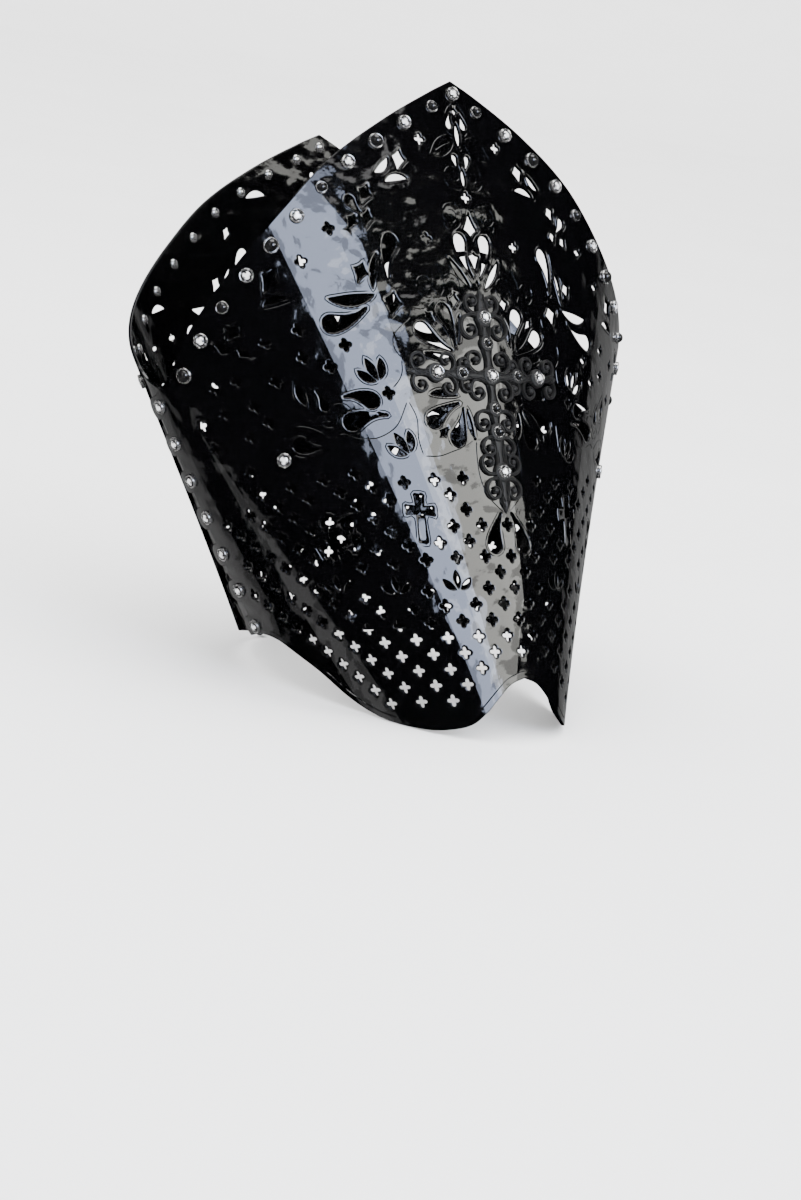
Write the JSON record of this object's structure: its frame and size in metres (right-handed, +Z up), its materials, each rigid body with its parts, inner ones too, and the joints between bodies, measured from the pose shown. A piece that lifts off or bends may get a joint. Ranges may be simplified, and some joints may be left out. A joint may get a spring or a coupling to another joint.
{
  "type": "bishop mitre",
  "caption": "Stiff bishop mitre of two pierced black patent sheets riveted at the sides, with crystal and black studs along the edges and a stone-set scrollwork cross on the front",
  "frame": {"origin": "middle of the overall box in plan, on the floor that the mitre rests on", "axes": "X to the wearer's left, -Y the front with the cross, Z up from the floor"},
  "size_m": [0.2956, 0.2568, 0.3166],
  "materials": {
    "patent": "mirror gloss patent",
    "cross_enamel": "black enamel with engraved lines",
    "crystal_stud": "polished ring with a cut crystal",
    "black_stud": "polished ring with a glossy black dome"
  },
  "bodies": {
    "root": {"front_panel": "patent", "back_panel": "patent", "front_cross": "cross_enamel", "edge_stud_apex": "crystal_stud", "edge_stud_L1": "black_stud", "edge_stud_R1": "black_stud", "edge_stud_L2": "crystal_stud", "edge_stud_R2": "crystal_stud", "edge_stud_L3": "black_stud", "edge_stud_R3": "black_stud", "edge_stud_L4": "crystal_stud", "edge_stud_R4": "crystal_stud", "edge_stud_L5": "black_stud", "edge_stud_R5": "black_stud", "edge_stud_L6": "crystal_stud", "edge_stud_R6": "crystal_stud", "edge_stud_L7": "black_stud", "edge_stud_R7": "black_stud", "edge_stud_L8": "crystal_stud", "edge_stud_R8": "crystal_stud", "edge_stud_L9": "black_stud", "edge_stud_R9": "black_stud", "edge_stud_L10": "crystal_stud", "edge_stud_R10": "crystal_stud", "edge_stud_L11": "black_stud", "edge_stud_R11": "black_stud", "seam_stud_L1": "crystal_stud", "seam_stud_R1": "crystal_stud", "seam_stud_L2": "crystal_stud", "seam_stud_R2": "crystal_stud", "seam_stud_L3": "crystal_stud", "seam_stud_R3": "crystal_stud", "seam_stud_L4": "crystal_stud", "seam_stud_R4": "crystal_stud", "seam_stud_L5": "crystal_stud", "seam_stud_R5": "crystal_stud", "seam_stud_L6": "crystal_stud", "seam_stud_R6": "crystal_stud", "seam_stud_L7": "crystal_stud", "seam_stud_R7": "crystal_stud", "medallion_stud_L": "crystal_stud", "medallion_stud_R": "crystal_stud", "nape_stud_L": "crystal_stud", "nape_stud_R": "crystal_stud"}
  },
  "joints": []
}
